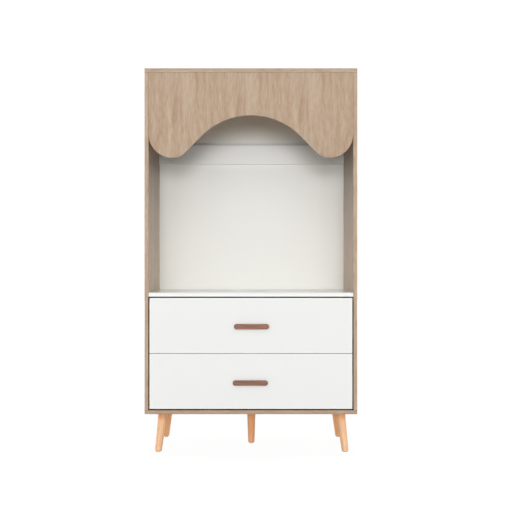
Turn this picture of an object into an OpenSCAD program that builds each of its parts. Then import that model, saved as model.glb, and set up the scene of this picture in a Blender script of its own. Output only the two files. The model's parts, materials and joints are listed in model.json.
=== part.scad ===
// Freestanding children's wardrobe. An open hanging space behind a scalloped valance stands over
// two inset drawers on full-extension ball-bearing slides, and five turned legs carry the carcass.
// The origin is on the floor under the middle of the overall box, handles included.
// +Z is up, the front faces -Y, and left and right are those of someone who faces the front.

/* [Carcass] */
// Overall width
body_w = 950; // [860:10:1200]
// Depth of the carcass, without the handles
body_d = 500; // [495:5:600]
// Height of the carcass, without the legs
body_h = 1545; // [1450:5:1800]
// Thickness of the side panels
side_t = 18; // [15:1:22]
// Thickness of the top, the bottom and the deck
board_t = 18; // [16:1:25]
// Clear height of the bay that holds the two drawers
bay_h = 507; // [450:1:600]

/* [Back] */
// Thickness of the back panels
back_t = 3; // [2.5:0.5:5]
// Distance from the rear edges to the rear faces of the back panels
back_inset = 12; // [8:1:14]
// Depth of the grooves that hold the back panels
groove_depth = 6; // [4:0.5:8]
// Height of the rail in front of the upper back panel
rail_h = 97; // [85:1:150]
// Thickness of that rail
rail_t = 16; // [15:1:22]
// Drop from the top panel's underside to the rail's upper edge
rail_drop = 269; // [180:1:350]

/* [Valance] */
// Thickness of the valance
valance_t = 16; // [15:1:22]
// Drop from the top panel's underside to the crown of the arch
arch_drop = 191; // [160:1:230]
// Drop from the top panel's underside to the lowest point of each lobe
lobe_drop = 382; // [350:1:410]
// Radius of a lobe on its side towards the side panel
lobe_outer_r = 106; // [90:1:120]
// Radius of a lobe on its side towards the arch
lobe_inner_r = 79; // [60:1:100]
// Slope of the straight stretch between a lobe and the arch, in degrees
slope_angle = 45.5; // [42:0.5:52]

/* [Hanging rod] */
// Outer diameter of the rod
rod_d = 25; // [19:1:30]
// Wall of the rod's tube
rod_wall = 1.5; // [1:0.1:3]
// Drop from the top panel's underside to the rod's axis
rod_drop = 75; // [60:1:110]
// Wall of the sockets around the rod
socket_wall = 3; // [2:0.5:5]
// Depth of the sockets
socket_depth = 14; // [8:1:20]
// Thickness of the sockets' flanges
flange_t = 2.5; // [2:0.5:4]
// Distance between a socket's two screws
flange_screw_spacing = 48; // [46:1:56]
// Width of the sockets' flanges, which have round ends
flange_w = 30; // [20:1:40]

/* [Legs] */
// Height from the floor to the bottom panel
leg_h = 180; // [140:1:220]
// Diameter that the legs' taper reaches at the bottom panel
leg_top_d = 42; // [38:1:50]
// Diameter of the legs at the floor
leg_foot_d = 30; // [27:1:36]
// Tilt of the corner legs, along the carcass's diagonals, in degrees
leg_tilt = 9; // [5:0.5:12]
// Mean distance from the carcass's sides to the middles of the corner feet
foot_inset_x = 51.3; // [45:0.1:90]
// Distance that the corner legs stand right of their mean places
foot_shift = 3.3; // [0:0.1:5]
// Distance from the carcass's front or rear to the middle of a corner foot
foot_inset_y = 64; // [50:1:100]
// Distance of the centre leg behind the middle of the depth
centre_leg_back = 25; // [0:1:40]
// Width of the foot's edge bevel
foot_bevel = 4; // [2:0.5:5]
// Side of the square leg plates
plate_w = 60; // [56:1:80]
// Thickness of the leg plates
plate_t = 2.5; // [2:0.5:4]
// Diameter of the leg plates' bosses
boss_d = 36; // [28:1:38]
// Depth of the bosses under the bottom panel, on the leg's axis
boss_h = 10; // [9:1:16]
// Distance between a leg plate's screws, along each side
plate_screw_spacing = 48; // [44:1:50]
// Diameter of the hanger bolts
leg_bolt_d = 8; // [6:1:10]
// Length of a hanger bolt inside the leg
leg_bolt_grip = 35; // [20:1:60]
// Diameter of the glides
glide_d = 19; // [14:1:20]
// Height of the glides
glide_h = 6; // [4:0.5:8]
// How far the glides stand out under the wood
glide_proud = 2; // [1:0.5:3]

/* [Drawers] */
// Thickness of the drawer fronts
front_t = 16; // [15:1:22]
// Gap between a front and each side panel
front_side_gap = 3.3; // [2:0.1:8]
// Gap between the lower front and the bottom panel
front_low_gap = 5; // [2:0.5:8]
// Gap between the two fronts
front_mid_gap = 2; // [2:0.5:5]
// Gap between the upper front and the deck
front_top_gap = 6; // [2:0.5:8]
// Thickness of the drawer sides
box_side_t = 15; // [15:1:18]
// Thickness of the drawer backs
box_back_t = 15; // [12:1:18]
// Height of the drawer sides and backs
box_h = 180; // [165:1:190]
// Height of the drawer sides over the lower edge of their front
box_lift = 15; // [12:1:20]
// Thickness of the drawer bottoms
base_t = 3; // [2.5:0.5:5]
// Height of a drawer bottom over the lower edges of its sides
base_lift = 10; // [8:1:14]
// Depth of the grooves that hold the drawer bottoms
base_groove = 5; // [4:0.5:6]

/* [Slides] */
// Length of the slides
slide_len = 450; // [350:10:450]
// Width of a closed slide, from the side panel to the drawer side
slide_t = 12.7; // [12.5:0.1:14]
// Height of the slides' outer members
slide_h = 45; // [43:1:50]
// Thickness of the slides' steel
steel_t = 1.2; // [1:0.1:1.3]
// Running clearance between a slide's members
slide_clear = 0.3; // [0.2:0.05:0.4]
// Depth of the outer members' channel
channel_depth = 10.8; // [10.5:0.1:11.2]
// Depth of the folded lips that keep the members together
lip = 2; // [1.5:0.1:2.2]
// Distance from the side panel to the middle members
middle_u = 4; // [3.8:0.1:4.2]
// Height of the slides' middle over the drawer sides' lower edges
slide_lift = 70; // [68:1:90]
// Distance from a front's rear face to the slides
slide_set = 2; // [1:0.5:4]
// Distance from a slide's ends to its outer screws
slide_screw_inset = 37; // [25:1:60]

/* [Handles] */
// Width of the handles
handle_w = 157; // [150:1:220]
// Height of the handles
handle_h = 24; // [18:1:30]
// Thickness of the handles' bar
handle_bar_t = 12; // [10:1:18]
// Finger gap behind the handles' bar
handle_gap = 13; // [10:1:30]
// Diameter of the handles' feet
handle_foot_d = 14; // [11:1:17]
// Distance between a handle's two screws
handle_hole_spacing = 128; // [96:32:128]
// Distance of each handle from the middle, the upper one right and the lower one left
handle_shift = 2.7; // [0:0.1:5]
// Distance of the upper handle under the middle of its front
handle_drop = 3; // [0:0.5:10]
// How much lower the lower handle sits on its front
handle_low_drop = 2; // [0:0.5:5]

/* [Wall anchors] */
// Distance between the two wall anchors
anchor_spacing = 400; // [200:10:600]
// Width of an anchor bracket
anchor_w = 30; // [20:1:40]
// Length of the bracket's leg under the top panel
anchor_arm = 27; // [20:1:40]
// Length of the bracket's leg down the back panel
anchor_drop = 35; // [30:1:50]
// Thickness of the bracket
anchor_t = 2; // [1.5:0.5:3]
// Distance from the back panel to the screw in the bracket's upper leg
anchor_screw_set = 15; // [12:1:16]
// Diameter of the bracket's hole for the wall screw
anchor_hole_d = 6.5; // [4.5:0.5:8]
// Drop from the top panel's underside to that hole
anchor_hole_drop = 20; // [15:1:22]
// Diameter of the back panel's hole behind it
back_hole_d = 10; // [9:1:16]

/* [Fasteners] */
// Diameter of the cam locks
cam_d = 15; // [14:0.5:16]
// Distance from a joint to the middle of its cam lock
cam_reach = 34; // [30:1:40]
// Depth of the cam locks past the middle of their board
cam_below = 4.5; // [4:0.1:5]
// Distance from the boards' front and rear edges to the cam locks
cam_inset = 50; // [45:1:60]
// Diameter of a cam bolt's thread
cam_thread_d = 5; // [4:0.5:6]
// Length of a cam bolt's thread
cam_thread_len = 10.5; // [8:0.5:11]
// Diameter of a cam bolt's shank
cam_shank_d = 6; // [5:0.5:7]
// Diameter of the dowels
dowel_d = 8; // [6:1:8]
// Length of a dowel in the edge of its board
dowel_edge = 20; // [12:1:30]
// Length of a dowel in the face of the other board
dowel_face = 9.5; // [6:0.5:11]
// Distance from a joint's cam locks to its dowels
dowel_pitch = 70; // [32:1:110]
// Diameter of the panel screws
screw_d = 3.5; // [3:0.1:4]
// Length of the panel screws under the head
screw_len = 11; // [9:1:13]
// Diameter of the screw heads
screw_head_d = 7; // [6:0.5:8]
// Height of the screw heads
screw_head_h = 1.8; // [1:0.1:2]
// Diameter of the drawer back screws
back_screw_d = 4; // [3:0.5:5]
// Length of the drawer back screws under the head
back_screw_len = 38; // [30:1:50]
// Diameter of the handle screws
handle_screw_d = 4; // [3:0.5:5]
// Length of a handle screw's thread inside the handle
handle_screw_grip = 12; // [8:0.5:16]
// Radial clearance around every fastener and in every groove
fit = 0.1; // [0.05:0.05:0.2]

/* [Hidden] */
$fn = 64;

oak = "#bea58c";
white = "#f1f1ee";
beech = "#e2b088";
brown = "#96705f";
zinc = "#b9bcbe";
dark_zinc = "#85888a";
plastic = "#d8d8d4";
birch = "#d9bf95";

// How far a cutting tool passes the face that it starts from
over = 1;
// How far a hole goes on past its fastener's tip
hole_end = 0.5;
// Gap between a captive piece and the end of its seat
seat_gap = 0.3;
left = -1;
right = 1;
lower = 0;
upper = 1;

// Cam locks, their bolts and the cross slots
shank_clear = 1;
cam_pocket = 2.5;
pocket_clear = 0.8;
cam_slot_w = 1.6;
slot_share = 0.6;
screw_slot_w = 1;
bolt_neck_set = 1.5;
bolt_neck_cut = 1;
bolt_head_len = 3;
bolt_head_lip = 0.3;

// Heights of the boards
bottom_z0 = leg_h;
bottom_z1 = bottom_z0 + board_t;
deck_z0 = bottom_z1 + bay_h;
deck_z1 = deck_z0 + board_t;
deck_mid_z = (deck_z0 + deck_z1) / 2;
top_z1 = leg_h + body_h;
top_z0 = top_z1 - board_t;

// Widths and depths of the carcass
half_w = body_w / 2;
half_in = half_w - side_t;
side_mid_x = half_in + side_t / 2;
handle_reach = handle_bar_t + handle_gap;
front_y = (handle_reach - body_d) / 2;
rear_y = front_y + body_d;
back_y1 = rear_y - back_inset;
back_y0 = back_y1 - back_t;
valance_y1 = front_y + valance_t;
rail_y0 = back_y0 - rail_t;
rail_mid_y = back_y0 - rail_t / 2;
rail_z1 = top_z0 - rail_drop;
rail_z0 = rail_z1 - rail_h;
rail_mid_z = (rail_z0 + rail_z1) / 2;
// The back panels stop this far short of the bottom of their grooves
groove_slack = 0.5;
groove_x = half_in + groove_depth;
back_edge_x = groove_x - groove_slack;

// The valance's lower edge: two lobes, each tangent to a side panel, a straight slope and an arch.
// The arch's radius is the one that makes all of them meet with no corner.
lobe_z = top_z0 - lobe_drop;
arch_z = top_z0 - arch_drop;
lobe_x = half_in - lobe_outer_r;
lobe_depth = lobe_drop - arch_drop;
arch_r = (lobe_x * sin(slope_angle) - lobe_depth * cos(slope_angle)) / (1 - cos(slope_angle))
    - lobe_inner_r;
arc_step = 3;

// The rod hangs midway between the valance and the back panel
rod_y = (valance_y1 + back_y0) / 2;
rod_z = top_z0 - rod_drop;
rod_half = half_in - flange_t - seat_gap;

// Drawer boxes and fronts
front_h = (bay_h - front_low_gap - front_mid_gap - front_top_gap) / 2;
front_half = half_in - front_side_gap;
front_y1 = front_y + front_t;
box_half = half_in - slide_t;
box_in = box_half - box_side_t;
box_side_mid_x = box_half - box_side_t / 2;
slide_y0 = front_y1 + slide_set;
slide_y1 = slide_y0 + slide_len;
box_y1 = slide_y1;
base_half = box_in + base_groove - seat_gap;
box_cam_edge = 40;
cam_heights = [box_cam_edge, box_h - box_cam_edge];

function front_z(level) = bottom_z1 + front_low_gap + level * (front_h + front_mid_gap);
function box_z(level) = front_z(level) + box_lift;
function slide_z(level) = box_z(level) + slide_lift;
function handle_x(level) = level == upper ? handle_shift : -handle_shift;
function handle_z(level) = front_z(level) + front_h / 2 - handle_drop
    - (level == lower ? handle_low_drop : 0);

// Slide members, as distances from the side panel and from the slide's middle
outer_half = slide_h / 2;
middle_half = outer_half - steel_t - slide_clear;
middle_u1 = channel_depth - steel_t - slide_clear;
inner_half = middle_half - steel_t - slide_clear;
inner_u0 = middle_u + steel_t + slide_clear;
inner_u1 = middle_u1 - steel_t - slide_clear;
neck_half = middle_half - steel_t - lip - slide_clear;
slide_screw_ys = [
    slide_y0 + slide_screw_inset, slide_y0 + slide_len / 2, slide_y1 - slide_screw_inset
];

// Each cam joint is where its bolt crosses the joint, the bolt's direction into the board that
// holds the cam, the face on which that cam opens, and that board's thickness
joint_ys = [front_y + cam_inset, back_y0 - cam_inset];
top_joints = [for (s = [left, right], y = joint_ys)
    [[s * side_mid_x, y, top_z0], [0, 0, -1], [-s, 0, 0], side_t]];
bottom_joints = [for (s = [left, right], y = joint_ys)
    [[s * side_mid_x, y, bottom_z1], [0, 0, 1], [-s, 0, 0], side_t]];
valance_cam_drops = [60, 210];
function deck_joints(s) = [for (y = joint_ys)
    [[s * half_in, y, deck_mid_z], [-s, 0, 0], [0, 0, -1], board_t]];
function valance_joints(s) = [for (drop = valance_cam_drops)
    [[s * half_in, front_y + valance_t / 2, top_z0 - drop], [-s, 0, 0], [0, 1, 0], valance_t]];
function rail_joints(s) = [[[s * half_in, rail_mid_y, rail_mid_z], [-s, 0, 0], [0, 1, 0], rail_t]];
function side_joints(s) = concat(deck_joints(s), valance_joints(s), rail_joints(s));
function box_joints(level, s) = [for (h = cam_heights)
    [[s * box_side_mid_x, front_y1, box_z(level) + h], [0, 1, 0], [-s, 0, 0], box_side_t]];
all_joints = concat(top_joints, bottom_joints, side_joints(left), side_joints(right));

// Each dowel is where it crosses its joint and its direction into the board's edge
dowel_ys = [joint_ys[0] + dowel_pitch, joint_ys[1] - dowel_pitch];
top_dowels = [for (s = [left, right], y = dowel_ys) [[s * side_mid_x, y, top_z0], [0, 0, -1]]];
bottom_dowels = [for (s = [left, right], y = dowel_ys) [[s * side_mid_x, y, bottom_z1], [0, 0, 1]]];
valance_dowel_x = half_in / 2;
valance_dowels = [for (x = [-valance_dowel_x, 0, valance_dowel_x])
    [[x, front_y + valance_t / 2, top_z0], [0, 0, -1]]];
rail_dowel_pitch = 30;
rail_dowel_zs = [rail_mid_z - rail_dowel_pitch, rail_mid_z + rail_dowel_pitch];
function deck_dowels(s) = [for (y = dowel_ys) [[s * half_in, y, deck_mid_z], [-s, 0, 0]]];
function rail_dowels(s) = [for (z = rail_dowel_zs) [[s * half_in, rail_mid_y, z], [-s, 0, 0]]];
function side_dowels(s) = concat(deck_dowels(s), rail_dowels(s));
all_dowels = concat(top_dowels, bottom_dowels, valance_dowels, side_dowels(left), side_dowels(right));

// Legs, as the middle of the foot, the tilt and the compass angle that the leg leans towards
function corner_leg(sx, sy) = [
    [
        sx * (half_w - foot_inset_x) + foot_shift,
        sy < 0 ? front_y + foot_inset_y : rear_y - foot_inset_y, 0
    ],
    leg_tilt, atan2(-sy, -sx)
];
centre_leg_place = [[0, (front_y + rear_y) / 2 + centre_leg_back, 0], 0, 0];
corner_places = [for (sx = [-1, 1], sy = [-1, 1]) corner_leg(sx, sy)];
all_places = concat(corner_places, [centre_leg_place]);
// Length of a leg's axis from the floor up to the boss of its plate
function leg_seat(place) = (leg_h - boss_h) / cos(place[1]);
// How far the bolts stay under the bottom panel, and how far the leg's cone is drawn under the floor
bolt_under = 2;
leg_below = 10;
leg_taper = (leg_top_d - leg_foot_d) / 2 / leg_h;
// Middle of the leg plate, where the leg's axis meets the bottom panel
function plate_middle(place) = place[0]
    + leg_h * tan(place[1]) * [cos(place[2]), sin(place[2]), 0] + [0, 0, leg_h];

// Each screw is the point under its head and the direction that it is driven in
plate_screw_places = [for (sx = [-1, 1], sy = [-1, 1]) [sx, sy, 0] * plate_screw_spacing / 2];
function plate_screws(place) = [for (p = plate_screw_places)
    [plate_middle(place) + p - [0, 0, plate_t], [0, 0, 1]]];
all_plate_screws = [for (place = all_places, s = plate_screws(place)) s];
function socket_screws(s) = [for (d = [-1, 1])
    [[s * (half_in - flange_t), rod_y, rod_z + d * flange_screw_spacing / 2], [s, 0, 0]]];
function outer_slide_screws(s) = [for (level = [lower, upper], y = slide_screw_ys)
    [[s * (half_in - steel_t), y, slide_z(level)], [s, 0, 0]]];
anchor_xs = [-anchor_spacing / 2, anchor_spacing / 2];
anchor_screw_y = back_y0 - anchor_screw_set;
anchor_screws = [for (x = anchor_xs) [[x, anchor_screw_y, top_z0 - anchor_t], [0, 0, 1]]];
function inner_slide_screws(level, s) = [for (y = slide_screw_ys)
    [[s * (box_half + steel_t), y, slide_z(level)], [-s, 0, 0]]];
function box_back_screws(level, s) = [for (h = cam_heights)
    [[s * box_half, box_y1 - box_back_t / 2, box_z(level) + h], [-s, 0, 0]]];
function handle_screws(level) = [for (d = [-1, 1])
    [[handle_x(level) + d * handle_hole_spacing / 2, front_y1, handle_z(level)], [0, -1, 0]]];
handle_screw_len = front_t + handle_screw_grip;
back_pin_x = half_in * 2 / 3;
seam_offset = board_t / 4;
seam_gap = 0.4;
deck_back_screws = [for (x = [-back_pin_x, 0, back_pin_x], d = [-1, 1])
    [[x, back_y1, deck_mid_z + d * seam_offset], [0, -1, 0]]];
rail_back_screws = [for (x = [-back_pin_x, 0, back_pin_x]) [[x, back_y1, rail_mid_z], [0, -1, 0]]];

// A block between two opposite corners
module slab(low, high) {
    translate(low) cube(high - low);
}

// The turn that takes +Z to the given direction along an axis
function turn(dir) = dir.x != 0 ? [0, 90 * dir.x, 0] : dir.y != 0 ? [-90 * dir.y, 0, 0]
    : dir.z < 0 ? [180, 0, 0] : [0, 0, 0];

// A round bar along dir, from one distance to another past the point p
module bar(p, dir, from, to, r) {
    translate(p + dir * from) rotate(turn(dir)) cylinder(h = to - from, r = r);
}

// Bores for the cams, and for their bolts in the cam's own board
module cam_cuts(joints) {
    for (j = joints) {
        bar(j[0] + j[1] * cam_reach + j[2] * j[3] / 2, -j[2], -over, j[3] / 2 + cam_below, cam_d / 2);
        bar(j[0], j[1], -over, cam_reach, cam_shank_d / 2 + shank_clear);
    }
}

// Bores for the bolts' threads in the board that the cam pulls
module thread_cuts(joints) {
    for (j = joints) {
        bar(j[0], -j[1], -over, cam_thread_len + hole_end, cam_thread_d / 2 + fit);
    }
}

// A cam lock: a turned barrel with a pocket for the bolt's head and a cross slot
module cam_lock(j) {
    centre = j[0] + j[1] * cam_reach;
    face = centre + j[2] * j[3] / 2;
    difference() {
        bar(face, -j[2], 0, j[3] / 2 + cam_below - 2 * fit, cam_d / 2 - fit);
        bar(centre, -j[1], -cam_pocket, cam_d, cam_shank_d / 2 + pocket_clear);
        translate(face) rotate(turn(j[2])) cross_slot(cam_d * slot_share, cam_slot_w, cam_slot_w);
    }
}

// A cam bolt: thread, shank, neck and head on one line
module cam_bolt(j) {
    neck = cam_reach - cam_d / 2 + bolt_neck_set;
    head = cam_reach - bolt_head_len;
    union() {
        bar(j[0], j[1], -cam_thread_len, 0, cam_thread_d / 2);
        bar(j[0], j[1], 0, neck, cam_shank_d / 2);
        bar(j[0], j[1], neck, head, cam_shank_d / 2 - bolt_neck_cut);
        bar(j[0], j[1], head, cam_reach, cam_shank_d / 2 + bolt_head_lip);
    }
}

// A cross slot sunk into the face at z = 0
module cross_slot(span, width, depth) {
    translate([-span / 2, -width / 2, -depth]) cube([span, width, depth + over]);
    translate([-width / 2, -span / 2, -depth]) cube([width, span, depth + over]);
}

module dowel_edge_cuts(dowels) {
    for (d = dowels) {
        bar(d[0], d[1], -over, dowel_edge + hole_end, dowel_d / 2 + fit);
    }
}

module dowel_face_cuts(dowels) {
    for (d = dowels) {
        bar(d[0], -d[1], -over, dowel_face + hole_end, dowel_d / 2 + fit);
    }
}

// Holes for screws, from over the head's seat to just past the tip
module screw_cuts(screws, len, d) {
    for (s = screws) {
        bar(s[0], s[1], -over, len + hole_end, d / 2 + fit);
    }
}

// A pan-head screw with a cross slot
module screw(s, len, d) {
    difference() {
        union() {
            bar(s[0], s[1], -screw_head_h, 0, screw_head_d / 2);
            bar(s[0], s[1], 0, len, d / 2);
        }
        translate(s[0] - s[1] * screw_head_h) rotate(turn(-s[1])) {
            cross_slot(screw_head_d * slot_share, screw_slot_w, screw_head_h * slot_share);
        }
    }
}

module screws(list, len, d) {
    color(zinc) for (s = list) {
        screw(s, len, d);
    }
}

// The slot that holds the back panels, as wide as they are thick plus the fit
module back_groove(low_x, high_x, low_z, high_z) {
    slab([low_x, back_y0 - fit, low_z], [high_x, back_y1 + fit, high_z]);
}

module top_panel() {
    color(oak) difference() {
        slab([-half_w, front_y, top_z0], [half_w, rear_y, top_z1]);
        back_groove(-groove_x, groove_x, top_z0 - over, top_z0 + groove_depth);
        thread_cuts(top_joints);
        dowel_face_cuts(top_dowels);
        dowel_face_cuts(valance_dowels);
        screw_cuts(anchor_screws, screw_len, screw_d);
    }
}

module bottom_panel() {
    color(oak) difference() {
        slab([-half_w, front_y, bottom_z0], [half_w, rear_y, bottom_z1]);
        back_groove(-groove_x, groove_x, bottom_z1 - groove_depth, bottom_z1 + over);
        thread_cuts(bottom_joints);
        dowel_face_cuts(bottom_dowels);
        screw_cuts(all_plate_screws, screw_len, screw_d);
    }
}

// A side panel, where s is left or right
module side_panel(s) {
    outer_x = s * half_w;
    inner_x = s * half_in;
    groove_ends = [s * groove_x, inner_x - s * over];
    color(oak) difference() {
        slab([min(outer_x, inner_x), front_y, bottom_z1], [max(outer_x, inner_x), rear_y, top_z0]);
        back_groove(min(groove_ends), max(groove_ends), bottom_z1 - over, top_z0 + over);
        cam_cuts([for (j = concat(top_joints, bottom_joints)) if (sign(j[0].x) == s) j]);
        dowel_edge_cuts([for (d = concat(top_dowels, bottom_dowels)) if (sign(d[0].x) == s) d]);
        thread_cuts(side_joints(s));
        dowel_face_cuts(side_dowels(s));
        screw_cuts(socket_screws(s), screw_len, screw_d);
        screw_cuts(outer_slide_screws(s), screw_len, screw_d);
    }
}

// Points of an arc about centre from one angle to another
function arc(centre, r, from, to) = let (count = ceil(abs(to - from) / arc_step))
    [for (i = [0:count]) let (a = from + (to - from) * i / count) centre + r * [cos(a), sin(a)]];

// The valance's right half, from the top down the side, round the lobe and up to the arch's crown
outer_lobe = arc([lobe_x, lobe_z + lobe_outer_r], lobe_outer_r, 0, -90);
inner_lobe = arc([lobe_x, lobe_z + lobe_inner_r], lobe_inner_r, -90, -90 - slope_angle);
valance_half = concat(
    [[half_in, top_z0]], outer_lobe, [for (i = [1:len(inner_lobe) - 1]) inner_lobe[i]],
    arc([0, arch_z - arch_r], arch_r, 90 - slope_angle, 90)
);
valance_outline = concat(
    valance_half,
    [for (i = [len(valance_half) - 2:-1:0]) [-valance_half[i].x, valance_half[i].y]]
);

module valance_panel() {
    color(oak) difference() {
        translate([0, valance_y1, 0]) rotate([90, 0, 0]) linear_extrude(valance_t) polygon(valance_outline);
        cam_cuts(concat(valance_joints(left), valance_joints(right)));
        dowel_edge_cuts(valance_dowels);
    }
}

module drawer_deck() {
    color(white) difference() {
        slab([-half_in, front_y, deck_z0], [half_in, back_y0, deck_z1]);
        cam_cuts(concat(deck_joints(left), deck_joints(right)));
        dowel_edge_cuts(concat(deck_dowels(left), deck_dowels(right)));
        screw_cuts(deck_back_screws, screw_len, screw_d);
    }
}

module back_rail() {
    color(white) difference() {
        slab([-half_in, rail_y0, rail_z0], [half_in, back_y0, rail_z1]);
        cam_cuts(concat(rail_joints(left), rail_joints(right)));
        dowel_edge_cuts(concat(rail_dowels(left), rail_dowels(right)));
        screw_cuts(rail_back_screws, screw_len, screw_d);
    }
}

module upper_back_panel() {
    low = [-back_edge_x, back_y0, deck_mid_z + seam_gap / 2];
    color(white) difference() {
        slab(low, [back_edge_x, back_y1, top_z0 + groove_depth - groove_slack]);
        for (x = anchor_xs) {
            bar([x, back_y0, top_z0 - anchor_hole_drop], [0, 1, 0], -over, back_t + over, back_hole_d / 2);
        }
        screw_cuts(deck_back_screws, screw_len, screw_d);
        screw_cuts(rail_back_screws, screw_len, screw_d);
    }
}

module lower_back_panel() {
    low = [-back_edge_x, back_y0, bottom_z1 - groove_depth + groove_slack];
    color(white) difference() {
        slab(low, [back_edge_x, back_y1, deck_mid_z - seam_gap / 2]);
        screw_cuts(deck_back_screws, screw_len, screw_d);
    }
}

module hanging_rod() {
    color(zinc) difference() {
        bar([0, rod_y, rod_z], [1, 0, 0], -rod_half, rod_half, rod_d / 2);
        bar([0, rod_y, rod_z], [1, 0, 0], -rod_half - over, rod_half + over, rod_d / 2 - rod_wall);
    }
}

// A round socket on a flange with round ends, screwed to a side panel
module rod_sockets() {
    color(zinc) for (s = [left, right]) {
        centre = [s * half_in, rod_y, rod_z];
        end = [0, 0, flange_screw_spacing / 2];
        difference() {
            union() {
                bar(centre + end, [-s, 0, 0], 0, flange_t, flange_w / 2);
                bar(centre - end, [-s, 0, 0], 0, flange_t, flange_w / 2);
                slab(
                    [min(centre.x, centre.x - s * flange_t), rod_y - flange_w / 2, rod_z - end.z],
                    [max(centre.x, centre.x - s * flange_t), rod_y + flange_w / 2, rod_z + end.z]
                );
                bar(centre, [-s, 0, 0], 0, socket_depth, rod_d / 2 + fit + socket_wall);
            }
            bar(centre, [-s, 0, 0], flange_t, socket_depth + over, rod_d / 2 + fit);
            screw_cuts(socket_screws(s), screw_len, screw_d);
        }
    }
}

// Draws along a leg's axis, from the given distance over the floor
module on_axis(place, from) {
    translate(place[0]) rotate([0, place[1], place[2]]) translate([0, 0, from]) children();
}

// A tapered turned leg. Its foot is cut level, bevelled, and bored for the glide.
module leg(place) {
    seat = leg_seat(place);
    foot_r = leg_foot_d / 2;
    foot = place[0] + glide_proud * tan(place[1]) * [cos(place[2]), sin(place[2]), 0];
    corner = [leg_foot_d, leg_foot_d, 0];
    color(beech) difference() {
        on_axis(place, -leg_below) {
            cylinder(
                h = seat + leg_below, r1 = foot_r - leg_taper * leg_below, r2 = foot_r + leg_taper * seat
            );
        }
        slab(foot - corner - [0, 0, leg_foot_d], foot + corner + [0, 0, glide_proud]);
        translate(foot + [0, 0, glide_proud - over]) difference() {
            cylinder(h = foot_bevel + over, r = leg_foot_d);
            cylinder(h = foot_bevel + over, r1 = foot_r - foot_bevel - over, r2 = foot_r);
        }
        translate(foot) cylinder(h = glide_h + fit, r = glide_d / 2 + fit);
        on_axis(place, seat - leg_bolt_grip - hole_end) {
            cylinder(h = leg_bolt_grip + 2 * over, r = leg_bolt_d / 2 + fit);
        }
    }
}

// A steel plate with a boss that meets the leg's end squarely
module leg_plate(place) {
    middle = plate_middle(place);
    corner = [plate_w / 2, plate_w / 2, 0];
    color(dark_zinc) difference() {
        union() {
            slab(middle - corner - [0, 0, plate_t], middle + corner);
            difference() {
                on_axis(place, leg_seat(place)) cylinder(h = 2 * boss_h, r = boss_d / 2);
                slab(middle - corner, middle + corner + [0, 0, 3 * boss_h]);
            }
        }
        on_axis(place, leg_seat(place) - over) cylinder(h = 3 * boss_h, r = leg_bolt_d / 2 + fit);
        screw_cuts(plate_screws(place), screw_len, screw_d);
    }
}

module corner_leg_plates() {
    for (place = corner_places) {
        leg_plate(place);
    }
}

// Hanger bolts, from inside the leg to just under the bottom panel
module leg_bolts() {
    color(zinc) for (place = all_places) {
        on_axis(place, leg_seat(place) - leg_bolt_grip) {
            cylinder(h = leg_bolt_grip + boss_h - bolt_under, r = leg_bolt_d / 2);
        }
    }
}

module leg_glides() {
    color(plastic) for (place = all_places) {
        lean = glide_proud * tan(place[1]) * [cos(place[2]), sin(place[2]), 0];
        translate(place[0] + lean) cylinder(h = glide_h, r = glide_d / 2);
    }
}

module carcass_cam_locks() {
    color(dark_zinc) for (j = all_joints) {
        cam_lock(j);
    }
}

module carcass_cam_bolts() {
    color(zinc) for (j = all_joints) {
        cam_bolt(j);
    }
}

module carcass_dowels() {
    color(birch) for (d = all_dowels) {
        bar(d[0], d[1], -dowel_face, dowel_edge, dowel_d / 2);
    }
}

module carcass_screws() {
    both_sides = concat(
        socket_screws(left), socket_screws(right), outer_slide_screws(left), outer_slide_screws(right)
    );
    screws(concat(all_plate_screws, both_sides, anchor_screws), screw_len, screw_d);
}

module back_panel_screws() {
    screws(concat(deck_back_screws, rail_back_screws), screw_len, screw_d);
}

// Folded brackets that take a screw into the wall, so that the wardrobe can't tip over
module wall_anchor_brackets() {
    color(zinc) for (x = anchor_xs) {
        low_x = x - anchor_w / 2;
        high_x = x + anchor_w / 2;
        difference() {
            union() {
                slab([low_x, back_y0 - anchor_t, top_z0 - anchor_drop], [high_x, back_y0, top_z0]);
                slab([low_x, back_y0 - anchor_arm, top_z0 - anchor_t], [high_x, back_y0, top_z0]);
            }
            bar(
                [x, back_y0, top_z0 - anchor_hole_drop], [0, -1, 0],
                -over, anchor_t + over, anchor_hole_d / 2
            );
            screw_cuts(anchor_screws, screw_len, screw_d);
        }
    }
}

// Draws a slide's section, from the side panel inwards and about its middle, along the slide
module slide_run(level, s) {
    translate([s * half_in, slide_y1, slide_z(level)]) mirror([s > 0 ? 1 : 0, 0, 0]) rotate([90, 0, 0]) {
        linear_extrude(slide_len) children();
    }
}

// A strip of a section between two corners, and its mirror image over the middle
module strip(low, high) {
    translate(low) square(high - low);
    translate([low.x, -high.y]) square(high - low);
}

module outer_slide(level, s) {
    color(zinc) difference() {
        slide_run(level, s) {
            strip([0, 0], [steel_t, outer_half]);
            strip([0, outer_half - steel_t], [channel_depth, outer_half]);
            strip([channel_depth - steel_t, outer_half - steel_t - lip], [channel_depth, outer_half]);
        }
        screw_cuts(outer_slide_screws(s), screw_len, screw_d);
    }
}

module middle_slide(level, s) {
    color(dark_zinc) slide_run(level, s) {
        strip([middle_u, 0], [middle_u + steel_t, middle_half]);
        strip([middle_u, middle_half - steel_t], [middle_u1, middle_half]);
        strip([middle_u1 - steel_t, middle_half - steel_t - lip], [middle_u1, middle_half]);
    }
}

module inner_slide(level, s) {
    color(zinc) difference() {
        slide_run(level, s) {
            strip([inner_u0, inner_half - steel_t], [inner_u1, inner_half]);
            strip([inner_u1 - steel_t, neck_half - steel_t], [inner_u1, inner_half]);
            strip([inner_u1 - steel_t, neck_half - steel_t], [slide_t, neck_half]);
            strip([slide_t - steel_t, 0], [slide_t, neck_half]);
        }
        screw_cuts(inner_slide_screws(level, s), screw_len, screw_d);
    }
}

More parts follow.
